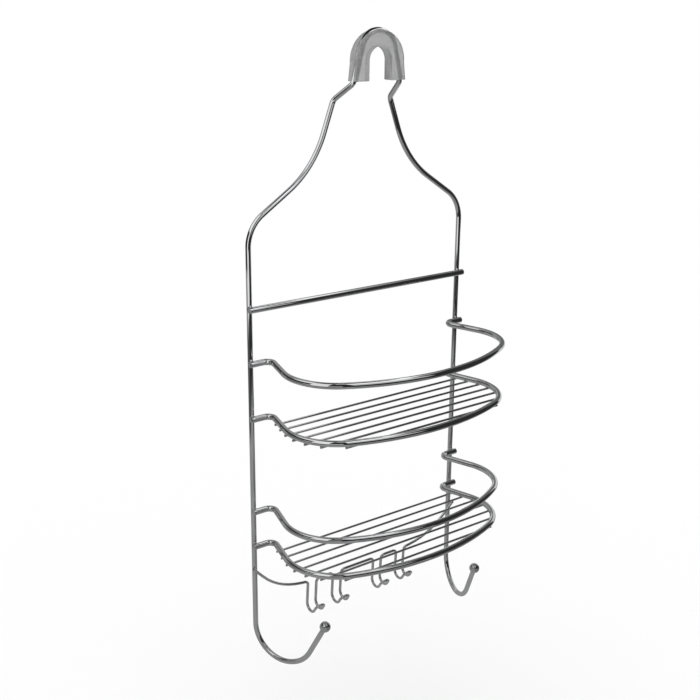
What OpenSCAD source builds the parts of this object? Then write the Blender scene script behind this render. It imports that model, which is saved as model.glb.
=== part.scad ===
// Two-shelf wire shower caddy that hangs from a shower arm.
//
// X runs across the caddy, Y runs back towards the wall and Z runs up.
// The origin is the middle of the round seat that rests on the shower arm.
// Every wire is drawn from its centre line: straight runs joined by round bends.

/* [Wire sizes] */
// Diameter of the wire that makes the frame, hoop and towel hooks
frame_d = 4.7; // [4.2:0.1:5]
// Diameter of the cross bar, guard rails and shelf rims
rail_d = 5.5; // [4.8:0.1:5.8]
// Diameter of the shelf grid wires
grid_d = 2; // [1.6:0.1:2.6]
// Diameter of the small-hook wire
hook_wire_d = 2.6; // [2:0.1:3]
// How far a welded wire sinks towards the one it crosses
weld_sink = 0.5; // [0.2:0.1:0.8]

/* [Frame] */
// Distance between the centre lines of the two uprights
frame_w = 230; // [225:1:240]
// How far the uprights stand behind the seat
frame_y = 20; // [16:1:24]
// Height of the corner where each shoulder meets its upright
shoulder_z = -129.5; // [-135:0.5:-124]
// Bend radius at the shoulder
shoulder_r = 32; // [20:1:40]
// Half width at the corner between neck and shoulder
neck_x = 50; // [46:1:54]
// Height of the corner between neck and shoulder
neck_z = -87; // [-92:1:-82]
// Bend radius between neck and shoulder
neck_r = 90; // [60:1:100]
// Half width at the top of the neck
kink_x = 30; // [27:0.5:33]
// Height of the top of the neck
kink_z = -32; // [-36:1:-30]
// Radius of the two forward bends under the hoop
kink_r = 7; // [5:0.5:9]

/* [Hoop and saddle] */
// Half width at the foot of the hoop
hoop_x = 24.1; // [22:0.1:25]
// Height of the foot of the hoop
hoop_foot_z = -17.5; // [-19:0.5:-17]
// Radius of the hoop's crown, on the wire's centre line
hoop_r = 17.5; // [16.5:0.1:18]
// Height of the crown's centre above the seat
hoop_z = 6.8; // [6.5:0.1:7.5]
// Radius of the seat that rests on the shower arm
seat_r = 11.5; // [11:0.5:12.5]
// Outer radius of the saddle over the seat
saddle_r = 24.6; // [24.2:0.1:25]
// Half width of the saddle at the foot of its legs
saddle_foot_x = 26.2; // [25:0.1:27]
// Height of the foot of the saddle's legs
saddle_foot_z = -16; // [-16.5:0.5:-12]
// Front to back depth of the saddle
saddle_depth = 11; // [9:0.5:14]

/* [Towel hooks] */
// Angle that each towel hook turns inwards
towel_turn = 21; // [0:0.5:30]
// Height of the corner at the foot of each upright
towel_z = -532.7; // [-535:0.1:-530]
// Bend radius at the foot of each upright
towel_r = 29; // [26:1:30]
// Forward reach to the corner where the hook starts to rise
towel_reach = 52.7; // [51.5:0.1:54]
// Height of the corner where the hook starts to rise
towel_rise_z = -515.4; // [-516.5:0.1:-514]
// Bend radius where the hook starts to rise
towel_rise_r = 33; // [28:1:35]
// Forward reach to the ball
ball_reach = 75; // [72:0.5:80]
// Height of the ball
ball_z = -473; // [-476:0.5:-468]
// Diameter of the ball
ball_d = 9.7; // [9:0.1:10.5]

/* [Cross bar and rails] */
// Height of the cross bar
bar_z = -197.5; // [-205:0.5:-190]
// Height of the upper guard rail
upper_guard_z = -244.5; // [-248:0.5:-236]
// Height of the upper shelf rim
upper_rim_z = -294; // [-300:0.5:-288]
// Height of the lower guard rail
lower_guard_z = -380.5; // [-384:0.5:-374]
// Height of the lower shelf rim
lower_rim_z = -414; // [-418:0.5:-408]
// How far rail ends run past the uprights' centre lines
end_past = 3.2; // [2.5:0.1:4]
// Half width at the corner where a rail's end turns forward
stub_x = 97.2; // [94:0.1:99]
// Bend radius where a rail's end turns forward
stub_r = 6.4; // [4:0.1:8]
// Half width at the corner between a rail's side and front
side_x = 118; // [115:0.5:120]
// Distance from the uprights forward to the guard's side corner
guard_side_y = 74; // [70:0.5:78]
// Distance from the uprights forward to the guard's front corner
guard_front_y = 139; // [134:0.5:141]
// Bend radius at the guard's side
guard_side_r = 45; // [38:1:46]
// Bend radius along the guard's front
guard_front_r = 178; // [150:1:180]
// Distance from the uprights forward to the rim's side corner
rim_side_y = 80; // [76:0.5:82]
// Distance from the uprights forward to the rim's front corner
rim_front_y = 125; // [120:0.5:130]
// Bend radius at the rim's side
rim_side_r = 46; // [38:1:47]
// Bend radius along the rim's front
rim_front_r = 221; // [180:1:222]

/* [Shelf grid] */
// Distance from the uprights forward to the rearmost grid wire
grid_first = 18; // [16:0.5:20]
// Spacing of the grid wires
grid_pitch = 12.6; // [11.5:0.1:13]
// How far each grid wire runs past the rim's centre line
grid_past = 2.2; // [1:0.1:4.5]

/* [Small hooks] */
// Height of the small-hook wire where it meets the uprights
droop_top_z = -436; // [-440:1:-434]
// How far the small-hook wire runs past the uprights' centre lines
droop_past = 3.6; // [2.5:0.1:4]
// Half width at the corner of the droop
droop_x = 90.4; // [86:0.1:94]
// Height of the corner of the droop
droop_z = -465.8; // [-468:0.1:-460]
// Bend radius of the droop
droop_r = 70; // [50:1:74]
// How far the straight runs stand behind the wire's welded ends
run_back = 3.1; // [2:0.1:4.2]
// Height of the straight runs between small hooks
run_z = -470; // [-472:0.2:-466]
// Middle of each outer small hook, from the caddy's centre
outer_hook_x = 52.8; // [50:0.2:56]
// Middle of each inner small hook, from the caddy's centre
inner_hook_x = 24.2; // [21:0.2:27]
// Distance between the two strands of a small hook
strand_gap = 9.6; // [8:0.2:10]
// Height of the corner at the foot of a small hook
small_hook_z = -516; // [-516.5:0.5:-515]
// Bend radius at the foot of a small hook
small_hook_r = 6.3; // [5.8:0.1:6.4]
// How far a small hook's strands lean back down to the corner at their foot
hook_lean = 3; // [2:0.5:3.5]
// Forward reach of a small hook's tip from the corner at its foot
tip_reach = 17; // [16.5:0.1:18]
// Height of a small hook's tip
tip_z = -490; // [-490.5:0.5:-489.5]

/* [Hidden] */
$fn = 48;

chrome = [0.78, 0.79, 0.80];
vinyl = [0.62, 0.63, 0.64, 0.7];

// A bend laps a little way into the straight runs next to it, and bending thins the wire a little.
bend_lap = 0.05;
bend_thinning = 0.02;
// Straight run left between two bends that would otherwise meet
bend_gap = 0.3;

upright_x = frame_w / 2;
rail_y = frame_y - (frame_d + rail_d) / 2 + weld_sink;
weld_y = frame_y - (frame_d + hook_wire_d) / 2;
grid_drop = (rail_d + grid_d) / 2 - weld_sink / 2;

// The hoop's legs lean in from the foot until they are tangent to the crown.
foot_gap = [hoop_x, hoop_foot_z - hoop_z];
hoop_lean = acos(hoop_r / norm(foot_gap)) - atan2(-foot_gap[1], foot_gap[0]);
crown_x = hoop_r * tan((90 - hoop_lean) / 2);
crown_z = hoop_z + hoop_r;

// Distance from the end of the towel hook's wire to the middle of its ball
ball_grip = 1;
// The slot over the hoop is a little narrower than the wire, so that it grips.
slot_w = frame_d - 0.4;
// How far the slot's floor stays inside the hoop's centre line round the crown
slot_relief = 0.2;

// ---- Wire geometry --------------------------------------------------------

function unit(v) = v / norm(v);
function flip_x(p) = [-p[0], p[1], p[2]];
function flipped(points) = [for (i = [len(points) - 1 : -1 : 0]) flip_x(points[i])];
function reversed(list) = [for (i = [len(list) - 1 : -1 : 0]) list[i]];

// Angle that the centre line turns through at corner i
function turn(p, i) = acos(unit(p[i] - p[i - 1]) * unit(p[i + 1] - p[i]));
// Distance from corner i to the ends of its bend
function setback(p, r, i) = (i == 0 || i == len(p) - 1) ? 0 : r[i] * tan(turn(p, i) / 2);

// Puts its children with their X axis along x_dir and their Z axis along z_dir.
module place(at, x_dir, z_dir) {
    y_dir = cross(z_dir, x_dir);
    multmatrix([
        [x_dir[0], y_dir[0], z_dir[0], at[0]],
        [x_dir[1], y_dir[1], z_dir[1], at[1]],
        [x_dir[2], y_dir[2], z_dir[2], at[2]],
        [0, 0, 0, 1]
    ]) children();
}

// Any direction square to v
function square_to(v) = unit(abs(v[2]) < 0.9 ? cross(v, [0, 0, 1]) : cross(v, [1, 0, 0]));

// Round wire of diameter d along the corners p, bent to the radii r.
module bent_wire(p, r, d) {
    for (i = [0 : len(p) - 2]) {
        along = unit(p[i + 1] - p[i]);
        from = p[i] + along * setback(p, r, i);
        run = norm(p[i + 1] - p[i]) - setback(p, r, i) - setback(p, r, i + 1);
        place(from, square_to(along), along) cylinder(h = run, d = d);
    }
    for (i = [1 : len(p) - 2]) {
        before = unit(p[i] - p[i - 1]);
        after = unit(p[i + 1] - p[i]);
        axis = unit(cross(before, after));
        outward = cross(before, axis);
        start = p[i] - before * setback(p, r, i);
        lap = bend_lap / r[i] * 180 / PI;
        place(start - outward * r[i], outward, axis) rotate(-lap)
            rotate_extrude(angle = turn(p, i) + 2 * lap)
                translate([r[i], 0]) circle(d = d - bend_thinning);
    }
}

// ---- Frame ----------------------------------------------------------------

// Point on the right-hand towel hook, by its forward reach and height
function towel_point(reach, z) =
    [upright_x - reach * sin(towel_turn), frame_y - reach * cos(towel_turn), z];

frame_half = [
    towel_point(ball_reach, ball_z),
    towel_point(towel_reach, towel_rise_z),
    towel_point(0, towel_z),
    [upright_x, frame_y, shoulder_z],
    [neck_x, frame_y, neck_z],
    [kink_x, frame_y, kink_z],
    [hoop_x, 0, hoop_foot_z],
    [crown_x, 0, crown_z]
];
frame_bends = [0, towel_rise_r, towel_r, shoulder_r, neck_r, kink_r, kink_r, hoop_r - bend_gap];

module main_frame() {
    color(chrome)
        bent_wire(concat(frame_half, flipped(frame_half)),
                  concat(frame_bends, reversed(frame_bends)), frame_d);
}

module hook_ball(side) {
    tip = frame_half[0];
    rise = unit(tip - frame_half[1]);
    color(chrome)
        mirror([side < 0 ? 1 : 0, 0, 0])
            place(tip, square_to(rise), rise)
                rotate_extrude()
                    difference() {
                        intersection() {
                            translate([0, ball_grip]) circle(d = ball_d);
                            translate([0, -ball_d]) square(2 * ball_d);
                        }
                        translate([-ball_d, -ball_d]) square([ball_d + frame_d / 2, ball_d]);
                    }
}

// ---- Saddle ---------------------------------------------------------------

// Stands a shape that was drawn from the front upright, d deep about the hoop's plane.
module stand(d) {
    translate([0, d / 2, 0]) rotate([90, 0, 0]) linear_extrude(d) children();
}

// The saddle before its slot: a thick arch over two legs that widen downwards
module saddle_body() {
    leg_top_z = saddle_r / 6;
    leg_top_x = saddle_r - 0.7;
    gap_d = saddle_depth + 1;
    difference() {
        union() {
            stand(saddle_depth)
                polygon([[-leg_top_x, leg_top_z], [leg_top_x, leg_top_z],
                         [saddle_foot_x, saddle_foot_z], [-saddle_foot_x, saddle_foot_z]]);
            difference() {
                stand(saddle_depth) circle(r = saddle_r, $fn = 96);
                stand(gap_d) translate([-saddle_r - 1, saddle_foot_z - saddle_r])
                    square([2 * saddle_r + 2, saddle_r]);
            }
        }
        stand(gap_d) circle(r = seat_r, $fn = 96);
        stand(gap_d) translate([-seat_r, saddle_foot_z - 1]) square([2 * seat_r, 1 - saddle_foot_z]);
    }
}

// Everything inside the hoop's centre line, through depth d
module inside_hoop(d) {
    lean_x = hoop_r * cos(hoop_lean);
    lean_z = hoop_z + hoop_r * sin(hoop_lean);
    past_foot = 10;
    foot_x = hoop_x + past_foot * tan(hoop_lean);
    stand(d) translate([0, hoop_z]) circle(r = hoop_r - slot_relief, $fn = 96);
    stand(d)
        polygon([[-lean_x, lean_z], [lean_x, lean_z], [foot_x, hoop_foot_z - past_foot],
                 [-foot_x, hoop_foot_z - past_foot]]);
}

module saddle_grip() {
    hoop_half = [for (i = [5 : 7]) frame_half[i]];
    hoop_bends = [0, kink_r, hoop_r - bend_gap];
    color(vinyl)
        difference() {
            saddle_body();
            difference() {
                stand(slot_w) square(4 * saddle_r, center = true);
                inside_hoop(slot_w + 1);
            }
            bent_wire(concat(hoop_half, flipped(hoop_half)),
                      concat(hoop_bends, reversed(hoop_bends)), frame_d);
        }
}

// ---- Cross bar, guards and rims -------------------------------------------

module cross_bar() {
    color(chrome)
        translate([-upright_x - end_past, rail_y, bar_z]) rotate([0, 90, 0])
            cylinder(h = frame_w + 2 * end_past, d = rail_d);
}

// Corners of a rail's right half, by its side and front corners' distances
function rail_half(side_y, z) = [
    [upright_x + end_past, rail_y, z],
    [stub_x, rail_y, z],
    [side_x, frame_y - side_y, z]
];

module rail(side_y, front_y, side_r, front_r, z) {
    half = rail_half(side_y, z);
    color(chrome)
        bent_wire(concat(half, [[0, frame_y - front_y, z]], flipped(half)),
                  [0, stub_r, side_r, front_r, side_r, stub_r, 0], rail_d);
}

module guard_rail(z) {
    rail(guard_side_y, guard_front_y, guard_side_r, guard_front_r, z);
}

module shelf_rim(z) {
    rail(rim_side_y, rim_front_y, rim_side_r, rim_front_r, z);
}

// ---- Shelf grids ----------------------------------------------------------

rim_side = [side_x, frame_y - rim_side_y];
rim_leg = unit(rim_side - [stub_x, rail_y]);
rim_front_line = unit([0, frame_y - rim_front_y] - rim_side);
rim_side_turn = acos(rim_leg * rim_front_line);
// Centre of the rim's side bend
rim_centre = rim_side - rim_leg * rim_side_r * tan(rim_side_turn / 2)
    + [rim_leg[1], -rim_leg[0]] * rim_side_r;
// Y of the side bend's rear end
rim_bend_back = rim_centre[1] + rim_leg[0] * rim_side_r;

// Half width of the rim's centre line at distance y
function rim_half_width(y) =
    y > rim_bend_back ? stub_x + (y - rail_y) * rim_leg[0] / rim_leg[1]
    : rim_centre[0] + sqrt(max(0, rim_side_r ^ 2 - (y - rim_centre[1]) ^ 2));

module grid_wire(number, rim_z) {
    y = frame_y - grid_first - (number - 1) * grid_pitch;
    half = rim_half_width(y) + grid_past;
    color(chrome)
        translate([-half, y, rim_z - grid_drop]) rotate([0, 90, 0])
            cylinder(h = 2 * half, d = grid_d, $fn = 24);
}

// ---- Small hooks ----------------------------------------------------------

small_bend_r = 4;
hook_y = weld_y + run_back;

// Corners of one strand's half of a small hook, from the run down to the tip
function strand(x) = [
    [x, hook_y, run_z],
    [x, hook_y + hook_lean, small_hook_z],
    [x, hook_y + hook_lean - tip_reach, tip_z]
];
strand_bends = [small_bend_r, small_hook_r, (strand_gap - bend_gap) / 2];

// Corners of a whole small hook whose middle is at x, outer strand first
function small_hook(x) = concat(strand(x + strand_gap / 2), reversed(strand(x - strand_gap / 2)));
small_hook_bends = concat(strand_bends, reversed(strand_bends));

module small_hook_wire() {
    half = concat(
        [[upright_x + droop_past, weld_y, droop_top_z], [droop_x, hook_y, droop_z]],
        small_hook(outer_hook_x),
        small_hook(inner_hook_x)
    );
    bends = concat([0, droop_r], small_hook_bends, small_hook_bends);
    color(chrome)
        bent_wire(concat(half, flipped(half)), concat(bends, reversed(bends)), hook_wire_d);
}

// ---- Nodes ----------------------------------------------------------------

main_frame();
hook_ball(-1);  // left_hook_ball
hook_ball(1);  // right_hook_ball
saddle_grip();
cross_bar();
guard_rail(upper_guard_z);  // upper_guard_rail
shelf_rim(upper_rim_z);  // upper_shelf_rim
grid_wire(1, upper_rim_z);  // upper_grid_wire_1
grid_wire(2, upper_rim_z);  // upper_grid_wire_2
grid_wire(3, upper_rim_z);  // upper_grid_wire_3
grid_wire(4, upper_rim_z);  // upper_grid_wire_4
grid_wire(5, upper_rim_z);  // upper_grid_wire_5
grid_wire(6, upper_rim_z);  // upper_grid_wire_6
grid_wire(7, upper_rim_z);  // upper_grid_wire_7
guard_rail(lower_guard_z);  // lower_guard_rail
shelf_rim(lower_rim_z);  // lower_shelf_rim
grid_wire(1, lower_rim_z);  // lower_grid_wire_1
grid_wire(2, lower_rim_z);  // lower_grid_wire_2
grid_wire(3, lower_rim_z);  // lower_grid_wire_3
grid_wire(4, lower_rim_z);  // lower_grid_wire_4
grid_wire(5, lower_rim_z);  // lower_grid_wire_5
grid_wire(6, lower_rim_z);  // lower_grid_wire_6
grid_wire(7, lower_rim_z);  // lower_grid_wire_7
small_hook_wire();
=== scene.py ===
"""Looks of a chrome wire shower caddy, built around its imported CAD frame. All lengths are metres."""

import math

import bmesh
import bpy
import numpy as np
from mathutils import Matrix, Vector


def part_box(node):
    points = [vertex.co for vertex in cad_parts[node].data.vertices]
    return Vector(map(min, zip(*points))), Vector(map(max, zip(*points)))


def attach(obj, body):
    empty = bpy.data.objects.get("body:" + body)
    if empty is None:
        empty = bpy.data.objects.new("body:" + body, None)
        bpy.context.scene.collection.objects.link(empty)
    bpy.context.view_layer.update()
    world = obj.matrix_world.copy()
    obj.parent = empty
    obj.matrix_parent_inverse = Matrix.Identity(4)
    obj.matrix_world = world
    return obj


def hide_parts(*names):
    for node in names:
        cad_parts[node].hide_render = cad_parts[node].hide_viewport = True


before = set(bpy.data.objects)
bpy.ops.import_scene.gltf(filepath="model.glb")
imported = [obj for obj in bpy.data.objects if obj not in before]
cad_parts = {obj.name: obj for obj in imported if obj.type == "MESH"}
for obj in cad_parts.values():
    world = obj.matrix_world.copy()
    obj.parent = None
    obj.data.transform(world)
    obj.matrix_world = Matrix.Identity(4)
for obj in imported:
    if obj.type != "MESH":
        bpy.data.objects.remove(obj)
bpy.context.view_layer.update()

MM = 0.001


def add_object(name, data):
    """A new object in the scene that shows data."""
    thing = bpy.data.objects.new(name, data)
    bpy.context.scene.collection.objects.link(thing)
    return thing


# ---- Camera ------------------------------------------------------------------

CAMERA_AT = Vector((-575.5, -732.2, 48.9)) * MM
CAMERA_YAW = math.radians(37.09)
CAMERA_PITCH = math.radians(17.55)
CAMERA_ROLL = math.radians(-0.52)
CAMERA_LENS_MM = 56.63
# How far the picture's middle lies off the lens axis, as a share of the picture's width
CAMERA_SHIFT_X = -0.0047
CAMERA_SHIFT_Y = -0.0058
CAMERA_CLIP_START = 10 * MM


def make_camera():
    forward = Vector((math.sin(CAMERA_YAW) * math.cos(CAMERA_PITCH),
                      math.cos(CAMERA_YAW) * math.cos(CAMERA_PITCH),
                      -math.sin(CAMERA_PITCH)))
    level = Vector((math.cos(CAMERA_YAW), -math.sin(CAMERA_YAW), 0))
    below = forward.cross(level)
    right = math.cos(CAMERA_ROLL) * level + math.sin(CAMERA_ROLL) * below
    down = math.cos(CAMERA_ROLL) * below - math.sin(CAMERA_ROLL) * level
    data = bpy.data.cameras.new("camera")
    data.lens = CAMERA_LENS_MM
    data.shift_x = CAMERA_SHIFT_X
    data.shift_y = CAMERA_SHIFT_Y
    data.clip_start = CAMERA_CLIP_START
    camera = add_object("camera", data)
    turned = Matrix((right, -down, -forward)).transposed().to_4x4()
    camera.matrix_world = Matrix.Translation(CAMERA_AT) @ turned
    bpy.context.scene.camera = camera


# ---- Sizes ---------------------------------------------------------------------

def box_size(node):
    low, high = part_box(node)
    return high - low


def box_centre(node):
    low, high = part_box(node)
    return (low + high) / 2


# The bar, guards and rims are all bent from wire of one thickness. The bar's box gives it, and
# the y at which they cross the uprights and the x of their ends.
RAIL_D = box_size("cross_bar").z
RAIL_Y = box_centre("cross_bar").y
RAIL_END_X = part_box("cross_bar")[1].x

# These are the CAD source's own sizes.
FRAME_D = 4.7 * MM
HOOK_WIRE_D = 2.6 * MM
BALL_D = 9.7 * MM
UPRIGHT_X = 115 * MM
FRAME_Y = 20 * MM

# The hoop's legs lean in from its foot until they are tangent to its crown.
HOOP_X = 24.1 * MM
HOOP_FOOT_Z = -17.5 * MM
HOOP_R = 17.5 * MM
HOOP_Z = 6.8 * MM
HOOP_RISE = HOOP_Z - HOOP_FOOT_Z
HOOP_LEAN = math.acos(HOOP_R / math.hypot(HOOP_X, HOOP_RISE)) - math.atan2(HOOP_RISE, HOOP_X)
HOOP_SLOPE = math.tan(HOOP_LEAN)


# ---- Wire paths ----------------------------------------------------------------

# Spacing of the points along a path: turn for each step in a bend, and length on a straight run
BEND_STEP = math.radians(3)
SMALL_BEND_STEP = math.radians(6)
STRAIGHT_STEP = 4 * MM


def bent_path(stops, step=BEND_STEP):
    """Points along straight runs that round bends join, from a list of (corner, bend radius)."""
    points = [stops[0][0].copy()]

    def run_to(end):
        start = points[-1].copy()
        count = max(1, math.ceil((end - start).length / STRAIGHT_STEP))
        for k in range(1, count + 1):
            points.append(start.lerp(end, k / count))

    for (before, _), (corner, radius), (after, _) in zip(stops, stops[1:], stops[2:]):
        u = (corner - before).normalized()
        v = (after - corner).normalized()
        turn = u.angle(v)
        setback = radius * math.tan(turn / 2)
        run_to(corner - u * setback)
        axis = u.cross(v).normalized()
        centre = points[-1] + axis.cross(u) * radius
        spoke = points[-1] - centre
        count = max(3, math.ceil(turn / step))
        for k in range(1, count + 1):
            points.append(centre + Matrix.Rotation(turn * k / count, 3, axis) @ spoke)
    run_to(stops[-1][0])
    return points


def mirrored(stops):
    """The same stops on the caddy's other half, in the opposite order."""
    return [(Vector((-p.x, p.y, p.z)), radius) for p, radius in reversed(stops)]


TOWEL_TURN = math.radians(21)
# The crown's two bends are this much tighter than the crown, so that they don't meet.
CROWN_SLACK = 0.3 * MM


def towel_point(reach, z):
    """A point on the right-hand towel hook, by its forward reach and height."""
    x = UPRIGHT_X - reach * math.sin(TOWEL_TURN)
    y = FRAME_Y - reach * math.cos(TOWEL_TURN)
    return Vector((x, y, z))


def frame_path():
    """The frame's centre line, from the right-hand towel hook over the hoop to the left-hand one."""
    crown_x = HOOP_R * math.tan((math.pi / 2 - HOOP_LEAN) / 2)
    half = [
        # Towel hook: its end in the ball, where it starts to rise, and the foot of the upright
        (towel_point(75 * MM, -473 * MM), 0),
        (towel_point(52.7 * MM, -515.4 * MM), 33 * MM),
        (towel_point(0, -532.7 * MM), 29 * MM),
        # Shoulder, and the corner between shoulder and neck
        (Vector((UPRIGHT_X, FRAME_Y, -129.5 * MM)), 32 * MM),
        (Vector((50 * MM, FRAME_Y, -87 * MM)), 90 * MM),
        # The two bends that bring the neck forward to the hoop
        (Vector((30 * MM, FRAME_Y, -32 * MM)), 7 * MM),
        (Vector((HOOP_X, 0, HOOP_FOOT_Z)), 7 * MM),
        # Half of the hoop's crown
        (Vector((crown_x, 0, HOOP_Z + HOOP_R)), HOOP_R - CROWN_SLACK),
    ]
    return bent_path(half + mirrored(half))


# Where a rail's end turns forward, and half the width between its side corners
STUB_X = 97.2 * MM
STUB_R = 6.4 * MM
SIDE_X = 118 * MM
# Distances from the frame's plane forward to a rail's side and front corners, and the bend radii there
GUARD = (74 * MM, 139 * MM, 45 * MM, 178 * MM)
RIM = (80 * MM, 125 * MM, 46 * MM, 221 * MM)


def rail_path(node, side_y, front_y, side_r, front_r):
    """A guard or rim: it starts at one upright, bows forward and ends at the other."""
    z = box_centre(node).z
    half = [
        (Vector((RAIL_END_X, RAIL_Y, z)), 0),
        (Vector((STUB_X, RAIL_Y, z)), STUB_R),
        (Vector((SIDE_X, FRAME_Y - side_y, z)), side_r),
    ]
    front = (Vector((0, FRAME_Y - front_y, z)), front_r)
    return bent_path(half + [front] + mirrored(half))


def straight_path(node):
    """The centre line of a straight wire that runs across the caddy."""
    low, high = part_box(node)
    centre = box_centre(node)
    return bent_path([(Vector((x, centre.y, centre.z)), 0) for x in (low.x, high.x)])


# The small-hook wire starts this far outside each upright and runs down and in to its hooks.
DROOP_PAST = 3.6 * MM
DROOP_TOP_Z = -436 * MM
DROOP_X = 90.4 * MM
DROOP_Z = -465.8 * MM
DROOP_R = 70 * MM
# How far its straight runs stand behind its ends, and the runs' height and bends
RUN_BACK = 3.1 * MM
RUN_Z = -470 * MM
RUN_R = 4 * MM
# Middles of the outer and inner small hooks, and the distance between a hook's two strands
SMALL_HOOKS_X = (52.8 * MM, 24.2 * MM)
STRAND_GAP = 9.6 * MM
# The foot of a small hook, which leans back, and its tip
HOOK_LEAN = 3 * MM
HOOK_FOOT_Z = -516 * MM
HOOK_FOOT_R = 6.3 * MM
TIP_REACH = 17 * MM
TIP_Z = -490 * MM
# Straight run left between the tip's two bends
TIP_SLACK = 0.3 * MM
TIP_R = (STRAND_GAP - TIP_SLACK) / 2


def small_hook_path():
    """The centre line of the wire that makes all four small hooks."""
    weld_y = FRAME_Y - (FRAME_D + HOOK_WIRE_D) / 2
    hook_y = weld_y + RUN_BACK
    foot_y = hook_y + HOOK_LEAN

    def strand(x):
        return [
            (Vector((x, hook_y, RUN_Z)), RUN_R),
            (Vector((x, foot_y, HOOK_FOOT_Z)), HOOK_FOOT_R),
            (Vector((x, foot_y - TIP_REACH, TIP_Z)), TIP_R),
        ]

    half = [
        (Vector((UPRIGHT_X + DROOP_PAST, weld_y, DROOP_TOP_Z)), 0),
        (Vector((DROOP_X, hook_y, DROOP_Z)), DROOP_R),
    ]
    for x in SMALL_HOOKS_X:
        half += strand(x + STRAND_GAP / 2)
        half += reversed(strand(x - STRAND_GAP / 2))
    return bent_path(half + mirrored(half), SMALL_BEND_STEP)


# ---- Meshes --------------------------------------------------------------------

# The point attribute that tells the chrome how worn it is, and its values on a cut end's face, on
# welds and balls, and on a cut end's bevel
WEAR = "wear"
CUT_WEAR = 1.0
BLEND_WEAR = 0.8
BEVEL_WEAR = 0.7

BEVEL = 0.3 * MM
THIN_WIRE_BEVEL = 0.2 * MM
BEVEL_RINGS = 3

THICK_WIRE_SIDES = 32
HOOK_WIRE_SIDES = 24
GRID_WIRE_SIDES = 20


def loft_faces(ring_count, sides):
    """Faces of a closed skin over rings of equal numbers of vertices, with a cap at each end."""
    faces = []
    for i in range(ring_count - 1):
        here = i * sides
        ahead = here + sides
        for k in range(sides):
            n = (k + 1) % sides
            faces.append((here + k, here + n, ahead + n, ahead + k))
    last = (ring_count - 1) * sides
    faces.append(tuple(reversed(range(sides))))
    faces.append(tuple(range(last, last + sides)))
    return faces


def cut_end(end, inward, radius, bevel):
    """The rings of a wire's bevelled end, from its face inwards, as (centre, radius, wear)."""
    rings = [(end, radius - bevel, CUT_WEAR)]
    for k in range(1, BEVEL_RINGS + 1):
        a = math.pi / 2 * k / BEVEL_RINGS
        centre = end + inward * bevel * (1 - math.cos(a))
        rings.append((centre, radius - bevel * (1 - math.sin(a)), BEVEL_WEAR))
    return rings


def tube(points, diameter, sides, bevel=BEVEL):
    """Vertices, faces and wear of a round wire. Its cut ends are bevelled and marked as worn."""
    radius = diameter / 2
    first = (points[1] - points[0]).normalized()
    last = (points[-1] - points[-2]).normalized()
    rings = cut_end(points[0], first, radius, bevel)
    rings += [(p, radius, 0.0) for p in points[1:-1]]
    rings += reversed(cut_end(points[-1], -last, radius, bevel))
    at = [centre for centre, _, _ in rings]
    tangents = [(after - before).normalized()
                for before, after in zip(at[:1] + at[:-1], at[1:] + at[-1:])]
    side = tangents[0].orthogonal().normalized()
    verts = []
    wear = []
    for i, (centre, ring_radius, worn) in enumerate(rings):
        if i:
            side = tangents[i - 1].rotation_difference(tangents[i]) @ side
        side = (side - tangents[i] * side.dot(tangents[i])).normalized()
        other = tangents[i].cross(side)
        for k in range(sides):
            a = 2 * math.pi * k / sides
            across = side * (ring_radius * math.cos(a))
            verts.append(centre + across + other * (ring_radius * math.sin(a)))
            wear.append(worn)
    return np.array(verts), loft_faces(len(rings), sides), np.array(wear)


def path_distance(points, path, diameter):
    """Distance from each point to the surface of a wire that follows path."""
    a = np.array(path[:-1])
    b = np.array(path[1:])
    along = b - a
    offset = points[:, None, :] - a[None]
    t = np.clip((offset * along).sum(-1) / (along ** 2).sum(-1), 0, 1)
    return np.linalg.norm(offset - t[..., None] * along, axis=-1).min(axis=1) - diameter / 2


def near(path, centre, reach):
    """The stretch of a path that passes within reach of centre."""
    kept = [i for i, p in enumerate(path) if (p - centre).length < reach]
    return path[max(0, kept[0] - 1):kept[-1] + 2]


# A blended skin's lumps: their share of the blend, their waves over its directions, and how their
# phase shifts from place to place
LUMP_SHARE = 0.18
LUMP_WAVES = np.array((5.1, -3.7, 4.3))
LUMP_SHIFT_X = 900
LUMP_SHIFT_Z = 500
# How far a blended skin lies under the wires' own surfaces
SKIN_UNDER = 0.025 * MM
# Steps outwards to find a blended skin, and halvings to place it
SKIN_STEPS = 24
SKIN_HALVINGS = 12


def blended(centre, fields, blend, reach, detail):
    """A closed skin round centre where the two distance fields given melt into each other.

    Away from the crease it lies just under the wires' own surfaces, so that only the fillet shows.
    """
    ball = bmesh.new()
    bmesh.ops.create_icosphere(ball, subdivisions=detail, radius=1)
    directions = np.array([v.co for v in ball.verts])
    faces = [tuple(v.index for v in f.verts) for f in ball.faces]
    ball.free()
    origin = np.array(centre)
    shift = centre.x * LUMP_SHIFT_X + centre.z * LUMP_SHIFT_Z
    lumpy_blend = blend * (1 + LUMP_SHARE * np.sin(directions @ LUMP_WAVES + shift))

    def outside(distances):
        """Whether the points at these distances along the directions are outside the skin."""
        a, b = (field(origin + directions * distances) for field in fields)
        near_crease = np.clip(1 - np.abs(a - b) / lumpy_blend, 0, 1)
        return np.minimum(a, b) - near_crease ** 2 * lumpy_blend / 4 + SKIN_UNDER > 0

    low = np.full(len(directions), reach)
    high = low.copy()
    inside = np.ones(len(directions), bool)
    stations = np.linspace(0, reach, SKIN_STEPS + 1)
    for start, end in zip(stations, stations[1:]):
        leaves = inside & outside(end)
        low[leaves] = start
        high[leaves] = end
        inside &= ~leaves
    for _ in range(SKIN_HALVINGS):
        middle = (low + high) / 2
        out = outside(middle[:, None])
        high = np.where(out, middle, high)
        low = np.where(out, low, middle)
    return origin + directions * low[:, None], faces, np.full(len(directions), BLEND_WEAR)


# A fillet reaches this many wire diameters, but stays this far from the wires' cut ends.
WELD_REACH = 1.1
WELD_END_GAP = 0.5 * MM
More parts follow.
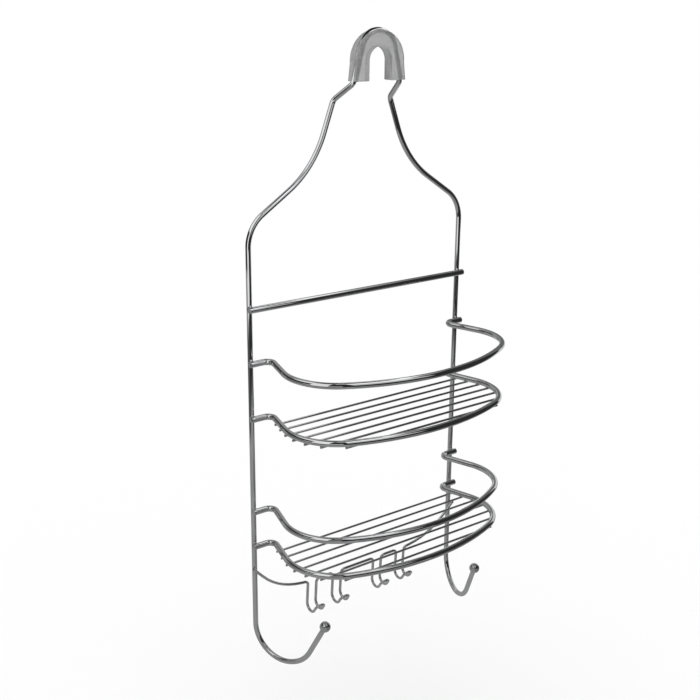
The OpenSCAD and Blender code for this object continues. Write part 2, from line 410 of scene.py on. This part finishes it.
# The blend of a fillet: a share of the thinner wire's diameter, and a little more
WELD_BLEND = 0.25
WELD_BLEND_MORE = 0.4 * MM
# How far along each wire a weld looks
WELD_SPAN = 12 * MM
# Subdivisions of the fillets' meshes
WELD_DETAIL = 4
GRID_WELD_DETAIL = 3


def weld(path_a, d_a, path_b, d_b, centre, detail=WELD_DETAIL):
    """The fillet that a weld leaves where two wires cross."""
    ends = (path_a[0], path_a[-1], path_b[0], path_b[-1])
    to_ends = [(end - centre).length - WELD_END_GAP for end in ends]
    reach = min([WELD_REACH * max(d_a, d_b)] + to_ends)
    near_a = near(path_a, centre, WELD_SPAN)
    near_b = near(path_b, centre, WELD_SPAN)
    fields = (lambda p: path_distance(p, near_a, d_a), lambda p: path_distance(p, near_b, d_b))
    blend = WELD_BLEND * min(d_a, d_b) + WELD_BLEND_MORE
    return blended(centre, fields, blend, reach, detail)


# Points on each straight stretch when a contact is placed
CONTACT_POINTS = 41


def closest_pair(a, b):
    """Indices of the two closest points, one from each array."""
    gaps = np.linalg.norm(a[:, None] - b[None], axis=-1)
    return np.unravel_index(gaps.argmin(), gaps.shape)


def fine_points(points, i):
    """Closely spaced points on the one or two straight stretches that meet at point i."""
    share = np.linspace(0, 1, CONTACT_POINTS)[:, None]
    starts = [k for k in (i - 1, i) if 0 <= k < len(points) - 1]
    return np.concatenate([points[k] + share * (points[k + 1] - points[k]) for k in starts])


def contact(path_a, d_a, path_b, d_b):
    """The middle of the contact between two wires."""
    a = np.array(path_a)
    b = np.array(path_b)
    i, j = closest_pair(a, b)
    a = fine_points(a, i)
    b = fine_points(b, j)
    i, j = closest_pair(a, b)
    return Vector(a[i] + (b[j] - a[i]) * d_a / (d_a + d_b))


# ---- Materials -----------------------------------------------------------------

def node_material(name):
    material = bpy.data.materials.new(name)
    material.use_nodes = True
    tree = material.node_tree
    tree.nodes.clear()
    shader = tree.nodes.new("ShaderNodeBsdfPrincipled")
    output = tree.nodes.new("ShaderNodeOutputMaterial")
    tree.links.new(shader.outputs["BSDF"], output.inputs["Surface"])
    return material, tree, shader


def add_noise(tree, coordinate, scale, detail):
    noise = tree.nodes.new("ShaderNodeTexNoise")
    noise.inputs["Scale"].default_value = scale
    noise.inputs["Detail"].default_value = detail
    tree.links.new(coordinate, noise.inputs["Vector"])
    return noise.outputs["Fac"]


def add_ramp(tree, source, low, high):
    """A colour ramp between two (position, colour) stops."""
    ramp = tree.nodes.new("ShaderNodeValToRGB")
    for element, (position, colour) in zip(ramp.color_ramp.elements, (low, high)):
        element.position = position
        element.color = (*colour, 1)
    tree.links.new(source, ramp.inputs["Fac"])
    return ramp.outputs["Color"]


def add_math(tree, operation, a, b):
    """A Math node on the socket a and on b, which is a socket or a number."""
    node = tree.nodes.new("ShaderNodeMath")
    node.operation = operation
    tree.links.new(a, node.inputs[0])
    if isinstance(b, float):
        node.inputs[1].default_value = b
    else:
        tree.links.new(b, node.inputs[1])
    return node.outputs[0]


BUMP_HEIGHT = 0.05 * MM
BUMP_STRENGTH = 0.25


def add_bump(tree, shader, height):
    bump = tree.nodes.new("ShaderNodeBump")
    bump.inputs["Distance"].default_value = BUMP_HEIGHT
    bump.inputs["Strength"].default_value = BUMP_STRENGTH
    tree.links.new(height, bump.inputs["Height"])
    tree.links.new(bump.outputs["Normal"], shader.inputs["Normal"])


BLACK = (0, 0, 0)
WHITE = (1, 1, 1)
# Noise scales are in cells for each metre.
HAZE_SCALE = 45
SPOT_SCALE = 420
RIPPLE_SCALE = 140
CHROME_CLEAR = (0.60, 0.605, 0.615)
CHROME_HAZY = (0.52, 0.52, 0.525)
CHROME_WORN = (0.40, 0.40, 0.41, 1)
# How far wear turns the plate's colour to the worn one
WEAR_TINT = 0.5
# What haze, water marks and wear each add to the roughness
HAZE_ROUGHNESS = 0.06
SPOT_ROUGHNESS = 0.06
WEAR_ROUGHNESS = 0.12


def chrome_material():
    """Bright chromium plate: faint haze and water marks, dull at the welds and cut ends."""
    material, tree, shader = node_material("chrome_plate")
    shader.inputs["Metallic"].default_value = 1.0
    where = tree.nodes.new("ShaderNodeTexCoord").outputs["Object"]
    wear_node = tree.nodes.new("ShaderNodeAttribute")
    wear_node.attribute_name = WEAR
    wear = wear_node.outputs["Fac"]
    haze = add_noise(tree, where, HAZE_SCALE, detail=4)
    marks = add_noise(tree, where, SPOT_SCALE, detail=2)
    spots = add_ramp(tree, marks, (0.66, BLACK), (0.74, WHITE))
    tint = add_ramp(tree, haze, (0.35, CHROME_CLEAR), (0.7, CHROME_HAZY))
    dull = tree.nodes.new("ShaderNodeMix")
    dull.data_type = "RGBA"
    dull.inputs["B"].default_value = CHROME_WORN
    tree.links.new(tint, dull.inputs["A"])
    tree.links.new(add_math(tree, "MULTIPLY", wear, WEAR_TINT), dull.inputs["Factor"])
    tree.links.new(dull.outputs["Result"], shader.inputs["Base Color"])
    rough = add_math(tree, "MULTIPLY", haze, HAZE_ROUGHNESS)
    rough = add_math(tree, "ADD", rough, add_math(tree, "MULTIPLY", spots, SPOT_ROUGHNESS))
    rough = add_math(tree, "ADD", rough, add_math(tree, "MULTIPLY", wear, WEAR_ROUGHNESS))
    tree.links.new(rough, shader.inputs["Roughness"])
    add_bump(tree, shader, add_noise(tree, where, RIPPLE_SCALE, detail=2))
    return material


CLOUD_SCALE = 120
GRAIN_SCALE = 900
VINYL_DARK = (0.45, 0.452, 0.455)
VINYL_PALE = (0.53, 0.53, 0.532)
VINYL_CLEARNESS = 0.72
VINYL_IOR = 1.5
# The skin's lowest roughness, and how much its grain adds
VINYL_ROUGHNESS = 0.16
GRAIN_ROUGHNESS = 0.16


def vinyl_material():
    """Soft clear vinyl that has greyed: cloudy inside, with a satin moulded skin."""
    material, tree, shader = node_material("clear_vinyl")
    shader.inputs["Transmission Weight"].default_value = VINYL_CLEARNESS
    shader.inputs["IOR"].default_value = VINYL_IOR
    where = tree.nodes.new("ShaderNodeTexCoord").outputs["Object"]
    cloud = add_noise(tree, where, CLOUD_SCALE, detail=4)
    colour = add_ramp(tree, cloud, (0.3, VINYL_DARK), (0.7, VINYL_PALE))
    tree.links.new(colour, shader.inputs["Base Color"])
    grain = add_noise(tree, where, GRAIN_SCALE, detail=2)
    rough = add_math(tree, "MULTIPLY", grain, GRAIN_ROUGHNESS)
    rough = add_math(tree, "ADD", rough, VINYL_ROUGHNESS)
    tree.links.new(rough, shader.inputs["Roughness"])
    add_bump(tree, shader, grain)
    return material


# ---- Saddle --------------------------------------------------------------------

SADDLE_R = 24.6 * MM
SEAT_R = 11.5 * MM
SADDLE_FOOT_X = box_size("saddle_grip").x / 2
SADDLE_FOOT_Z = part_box("saddle_grip")[0].z
SADDLE_HALF_DEPTH = box_size("saddle_grip").y / 2
# A leg's outer face follows the straight line from here to its foot, outside the arch.
LEG_TOP_X = SADDLE_R - 0.7 * MM
LEG_TOP_Z = SADDLE_R / 6
LEG_SLOPE = (SADDLE_FOOT_X - LEG_TOP_X) / (LEG_TOP_Z - SADDLE_FOOT_Z)
# Radii of the rounded edges: along the arch, at the groove's lips, and round the feet
EDGE_R = 1.1 * MM
LIP_R = 0.45 * MM
FOOT_EDGE_R = 0.8 * MM
# The groove is this much wider than the wire all round, and its mouth this much narrower each side.
GROOVE_CLEARANCE = 0.03 * MM
MOUTH_GRIP = 0.2 * MM

# Stations along half a saddle, and the share of them on its leg
SADDLE_STATIONS = 60
LEG_SHARE = 0.3
FOOT_RINGS = 4
# Points of a section: over half the seat, over a side face and round half the groove, and the
# steps in a quarter round
SEAT_POINTS = 4
FACE_POINTS = 8
GROOVE_POINTS = 9
QUARTER_STEPS = 5
# The plain sections start a little above a foot's rounded edge.
PLAIN_FROM_Z = SADDLE_FOOT_Z + FOOT_EDGE_R * 1.2


def leg_station(z):
    """The saddle's section at height z on its right leg, as saddle_station gives it."""
    leg_x = SADDLE_FOOT_X - (z - SADDLE_FOOT_Z) * LEG_SLOPE
    outer = max(leg_x, math.sqrt(SADDLE_R ** 2 - z ** 2))
    wire = HOOP_X - (z - HOOP_FOOT_Z) * HOOP_SLOPE
    return Vector((0, 0, z)), Vector((1, 0, 0)), SEAT_R, outer, wire


def arch_station(a):
    """The saddle's section at angle a up its arch, as saddle_station gives it."""
    on_leg = (HOOP_X + HOOP_FOOT_Z * HOOP_SLOPE) / (math.cos(a) + HOOP_SLOPE * math.sin(a))
    on_crown = HOOP_Z * math.sin(a) + math.sqrt(HOOP_R ** 2 - (HOOP_Z * math.cos(a)) ** 2)
    hoop_leg_top_z = HOOP_Z + HOOP_R * math.sin(HOOP_LEAN)
    wire = on_leg if on_leg * math.sin(a) < hoop_leg_top_z else on_crown
    return Vector(), Vector((math.cos(a), 0, math.sin(a))), SEAT_R, SADDLE_R, wire


def saddle_station(t):
    """A section of the saddle at t, from 0 at the right foot to 1 at the crown.

    The result is a start point, a direction, and the distances along it to the saddle's inner
    edge, its outer edge and the middle of the hoop's wire.
    """
    if t < LEG_SHARE:
        return leg_station(SADDLE_FOOT_Z * (1 - t / LEG_SHARE))
    return arch_station((t - LEG_SHARE) / (1 - LEG_SHARE) * math.pi / 2)


def saddle_section(inner, outer, wire):
    """The saddle's outline across its arch, as (distance, y) points, with the wire's groove."""
    half = SADDLE_HALF_DEPTH
    groove_r = FRAME_D / 2 + GROOVE_CLEARANCE
    mouth_half = FRAME_D / 2 - MOUTH_GRIP
    # The groove runs round the wire until it meets the outer edge or has closed to its mouth.
    closed_cosine = -math.sqrt(1 - (mouth_half / groove_r) ** 2)
    spread = math.acos(max(closed_cosine, (wire - outer + LIP_R) / groove_r))
    mouth = groove_r * math.sin(spread)
    angles = [math.pi / 2 * k / QUARTER_STEPS for k in range(QUARTER_STEPS + 1)]
    quarter = [(math.cos(a), math.sin(a)) for a in angles]
    # One side, from the middle of the seat round to the bottom of the groove
    front = [(inner, -y) for y in np.linspace(0, half - EDGE_R, SEAT_POINTS)[:-1]]
    front += [(inner + EDGE_R * (1 - c), -half + EDGE_R * (1 - s)) for c, s in quarter]
    face = np.linspace(inner + EDGE_R, outer - EDGE_R, FACE_POINTS)
    front += [(u, -half) for u in face[1:-1]]
    front += [(outer - EDGE_R * (1 - s), -half + EDGE_R * (1 - c)) for c, s in quarter]
    front += [(outer - LIP_R * (1 - c), -mouth - LIP_R * (1 - s)) for c, s in quarter]
    for a in np.linspace(spread, 0, GROOVE_POINTS):
        front.append((wire - groove_r * math.cos(a), -groove_r * math.sin(a)))
    return np.array(front + [(u, -y) for u, y in front[-2:0:-1]])


def inset(outline, distance):
    """An anticlockwise closed outline moved inwards by distance."""
    along = np.roll(outline, -1, axis=0) - np.roll(outline, 1, axis=0)
    inward = np.stack([-along[:, 1], along[:, 0]], axis=1)
    return outline + inward / np.linalg.norm(along, axis=1)[:, None] * distance


def saddle_mesh():
    """Vertices, faces and wear of the saddle, lofted from foot to foot."""
    rings = []
    foot, direction, *distances = saddle_station(0)
    outline = saddle_section(*distances)
    for k in range(FOOT_RINGS + 1):
        a = math.pi / 2 * k / FOOT_RINGS
        origin = foot + Vector((0, 0, FOOT_EDGE_R * (1 - math.cos(a))))
        rings.append((origin, direction, inset(outline, FOOT_EDGE_R * (1 - math.sin(a)))))
    for t in np.linspace(0, 1, SADDLE_STATIONS):
        origin, direction, *distances = saddle_station(t)
        if origin.z > PLAIN_FROM_Z:
            rings.append((origin, direction, saddle_section(*distances)))
    rings += [(origin, Vector((-direction.x, 0, direction.z)), outline)
              for origin, direction, outline in rings[-2::-1]]
    verts = [origin + direction * u + Vector((0, y, 0))
             for origin, direction, outline in rings for u, y in outline]
    return np.array(verts), loft_faces(len(rings), len(rings[0][2])), np.zeros(len(verts))


# ---- The object ----------------------------------------------------------------

# The material of each slot
FINISHES = {"chrome": chrome_material(), "vinyl": vinyl_material()}


def make_piece(name, parts, slot, node):
    """One mesh object from (vertices, faces, wear) parts. It stands for the CAD node given."""
    faces = []
    base = 0
    for part_verts, part_faces, _ in parts:
        faces += [tuple(i + base for i in face) for face in part_faces]
        base += len(part_verts)
    verts = np.concatenate([part[0] for part in parts])
    wear = np.concatenate([part[2] for part in parts])
    mesh = bpy.data.meshes.new(name)
    mesh.from_pydata(verts.tolist(), [], faces)
    attribute = mesh.attributes.new(WEAR, "FLOAT", "POINT")
    attribute.data.foreach_set("value", wear.astype(np.float32))
    mesh.materials.append(FINISHES[slot])
    mesh.shade_smooth()
    piece = add_object(name, mesh)
    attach(piece, "root")
    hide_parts(node)


# How far the ball's middle lies past its wire's end, and the collar where the two melt together
BALL_PAST = 1 * MM
COLLAR = 1.6 * MM
BALL_SPAN = 20 * MM
BALL_DETAIL = 5


def hook_ball(path):
    """The ball on the end of the towel hook where path starts, with its collar."""
    outward = (path[0] - path[1]).normalized()
    centre = path[0] + outward * BALL_PAST
    middle = np.array(centre)
    wire = near(path, path[0], BALL_SPAN)
    fields = (lambda p: np.linalg.norm(p - middle, axis=1) - BALL_D / 2,
              lambda p: path_distance(p, wire, FRAME_D))
    return blended(centre, fields, COLLAR, BALL_D / 2 + COLLAR, BALL_DETAIL)


def make_frame(frame_line):
    frame_tube = tube(frame_line, FRAME_D, THICK_WIRE_SIDES)
    make_piece("frame_wire", [frame_tube], "chrome", "main_frame")
    make_piece("left_ball", [hook_ball(frame_line[::-1])], "chrome", "left_hook_ball")
    make_piece("right_ball", [hook_ball(frame_line)], "chrome", "right_hook_ball")
    make_piece("saddle", [saddle_mesh()], "vinyl", "saddle_grip")


def make_rails(frame_line):
    """The cross bar, guards and rims. Returns their centre lines by node."""
    lines = {
        "cross_bar": straight_path("cross_bar"),
        "upper_guard_rail": rail_path("upper_guard_rail", *GUARD),
        "upper_shelf_rim": rail_path("upper_shelf_rim", *RIM),
        "lower_guard_rail": rail_path("lower_guard_rail", *GUARD),
        "lower_shelf_rim": rail_path("lower_shelf_rim", *RIM),
    }
    # The middle of the overlap between an upright's front and a rail's back
    weld_y = (FRAME_Y - FRAME_D / 2 + RAIL_Y + RAIL_D / 2) / 2
    for node, line in lines.items():
        parts = [tube(line, RAIL_D, THICK_WIRE_SIDES)]
        for side in (-1, 1):
            centre = Vector((side * UPRIGHT_X, weld_y, box_centre(node).z))
            parts.append(weld(frame_line, FRAME_D, line, RAIL_D, centre))
        make_piece(node + "_wire", parts, "chrome", node)
    return lines


GRID_WIRES = 7


def make_grid(shelf, rim):
    """The grid wires of a shelf, welded to its rim at both ends."""
    for number in range(1, GRID_WIRES + 1):
        node = f"{shelf}_grid_wire_{number}"
        line = straight_path(node)
        grid_d = box_size(node).z
        parts = [tube(line, grid_d, GRID_WIRE_SIDES, THIN_WIRE_BEVEL)]
        for side in (-1, 1):
            half_rim = [p for p in rim if p.x * side > 0]
            centre = contact(half_rim, RAIL_D, line, grid_d)
            parts.append(weld(rim, RAIL_D, line, grid_d, centre, GRID_WELD_DETAIL))
        make_piece(node + "_rod", parts, "chrome", node)


# The small-hook wire's ends cross the uprights beyond this x, between these heights.
CROSSING_X = 80 * MM
CROSSING_LOW_Z = -480 * MM
CROSSING_HIGH_Z = -400 * MM


def make_small_hooks(frame_line):
    """The wire of the four small hooks, welded to both uprights."""
    hooks = small_hook_path()
    parts = [tube(hooks, HOOK_WIRE_D, HOOK_WIRE_SIDES, THIN_WIRE_BEVEL)]
    for side in (-1, 1):
        hooks_end = [p for p in hooks if p.x * side > CROSSING_X]
        upright = [p for p in frame_line
                   if p.x * side > CROSSING_X and CROSSING_LOW_Z < p.z < CROSSING_HIGH_Z]
        centre = contact(upright, FRAME_D, hooks_end, HOOK_WIRE_D)
        parts.append(weld(frame_line, FRAME_D, hooks, HOOK_WIRE_D, centre))
    make_piece("small_hooks", parts, "chrome", "small_hook_wire")


def build():
    frame_line = frame_path()
    make_frame(frame_line)
    rails = make_rails(frame_line)
    for shelf in ("upper", "lower"):
        make_grid(shelf, rails[shelf + "_shelf_rim"])
    make_small_hooks(frame_line)


# ---- Studio --------------------------------------------------------------------

SURROUND = 1.0
FLOOR_Z = -0.62
FLOOR_REACH = 60
FLOOR_COLOUR = 0.86
FLOOR_ROUGHNESS = 0.9


def make_floor():
    mesh = bpy.data.meshes.new("floor")
    signs = [(-1, -1), (1, -1), (1, 1), (-1, 1)]
    corners = [(x * FLOOR_REACH, y * FLOOR_REACH, FLOOR_Z) for x, y in signs]
    mesh.from_pydata(corners, [], [(0, 1, 2, 3)])
    material, _, shader = node_material("pale_floor")
    shader.inputs["Base Color"].default_value = (FLOOR_COLOUR, FLOOR_COLOUR, FLOOR_COLOUR, 1)
    shader.inputs["Roughness"].default_value = FLOOR_ROUGHNESS
    shader.inputs["Specular IOR Level"].default_value = 0
    mesh.materials.append(material)
    floor = add_object("floor", mesh)
    floor.visible_glossy = False


# What the studio shows the chrome: (azimuth from, to, elevation from, to, brightness), in degrees
# from the tent's middle. Azimuth 0 is +X and 90 is +Y. Later patches cover earlier ones.
TENT_BASE = 0.42
TENT_PATCHES = [
    # Behind and to the right: a black cloth, and a bright low wall under a dim one
    (96, 142, 5, 33, 0.07),
    (-12, 50, -26, 4, 0.9),
    (-12, 48, 4, 48, 0.2),
    (54, 84, -32, -14, 0.7),
    # Overhead soft box, with a black flag over the caddy
    (0, 360, 54, 90, 0.55),
    (300, 420, 60, 90, 1.7),
    (225, 300, 46, 90, 1.7),
    (0, 360, 68, 90, 0.03),
    # Front right: a lit strip and a dark room, over the grey table
    (247, 300, 14, 46, 0.8),
    (296, 350, -34, 50, 0.04),
    (204, 300, -22, 14, 0.03),
    (250, 350, -60, -34, 0.24),
    # The dark gap that the camera looks through
    (220, 247, 0, 60, 0.04),
    # Left: soft box, its bright foot, a black cloth over its lower part, and the table's far edge
    (142, 218, 0, 62, 1.3),
    (178, 240, -7, 2, 1.2),
    (138, 190, 0, 33, 0.04),
    (135, 204, -24, -9, 0.12),
]
# Width of the soft step at a patch's edge, in degrees
TENT_SOFTNESS = 2
TENT_RADIUS = 0.45
TENT_MIDDLE = Vector((0, 0, -0.25))
# One vertex for each degree
TENT_SEGMENTS = 360
TENT_RINGS = 180
GLOW = "glow"


def soft_step(degrees_inside):
    """0 outside a patch's edge and 1 inside it, with a soft step between."""
    return np.clip(degrees_inside / TENT_SOFTNESS + 0.5, 0, 1)


def tent_brightness(azimuth, elevation):
    """Brightness of the tent in each direction, from its soft-edged patches."""
    glow = np.full(azimuth.shape, TENT_BASE)
    for az0, az1, el0, el1, brightness in TENT_PATCHES:
        from_middle = np.abs((azimuth - (az0 + az1) / 2 + 180) % 360 - 180)
        inside = soft_step((az1 - az0) / 2 - from_middle)
        inside *= soft_step(elevation - el0) * soft_step(el1 - elevation)
        glow += (brightness - glow) * inside
    return glow


def tent_mesh():
    """A sphere with the tent's brightness stored at its vertices."""
    ball = bmesh.new()
    bmesh.ops.create_uvsphere(
        ball, u_segments=TENT_SEGMENTS, v_segments=TENT_RINGS, radius=TENT_RADIUS)
    mesh = bpy.data.meshes.new("tent")
    ball.to_mesh(mesh)
    ball.free()
    points = np.array([v.co for v in mesh.vertices])
    azimuth = np.degrees(np.arctan2(points[:, 1], points[:, 0]))
    elevation = np.degrees(np.arcsin(points[:, 2] / np.linalg.norm(points, axis=1)))
    brightness = tent_brightness(azimuth, elevation)
    attribute = mesh.attributes.new(GLOW, "FLOAT", "POINT")
    attribute.data.foreach_set("value", brightness.astype(np.float32))
    return mesh


def make_tent():
    """A tent of soft boxes and black cloths round the caddy, which only mirrors see."""
    material = bpy.data.materials.new("tent_cloth")
    material.use_nodes = True
    tree = material.node_tree
    tree.nodes.clear()
    light = tree.nodes.new("ShaderNodeEmission")
    brightness = tree.nodes.new("ShaderNodeAttribute")
    brightness.attribute_name = GLOW
    output = tree.nodes.new("ShaderNodeOutputMaterial")
    tree.links.new(brightness.outputs["Fac"], light.inputs["Strength"])
    tree.links.new(light.outputs["Emission"], output.inputs["Surface"])
    mesh = tent_mesh()
    mesh.materials.append(material)
    tent = add_object("tent", mesh)
    tent.location = TENT_MIDDLE
    tent.visible_camera = False
    tent.visible_diffuse = False
    tent.visible_shadow = False
    tent.visible_transmission = False


SUN_ANGLE = math.radians(70)


def make_lights():
    """A pale surround, and a wide sun that lights the floor up to the surround's brightness."""
    world = bpy.data.worlds.new("studio")
    bpy.context.scene.world = world
    world.use_nodes = True
    background = world.node_tree.nodes["Background"]
    background.inputs["Color"].default_value = (SURROUND, SURROUND, SURROUND, 1)
    sun = bpy.data.lights.new("soft_sun", "SUN")
    sun.energy = math.pi * (SURROUND / FLOOR_COLOUR - SURROUND)
    sun.angle = SUN_ANGLE
    light = add_object("soft_sun", sun)
    light.visible_glossy = False
    bpy.context.scene.view_settings.view_transform = "Standard"


make_camera()
build()
make_floor()
make_tent()
make_lights()
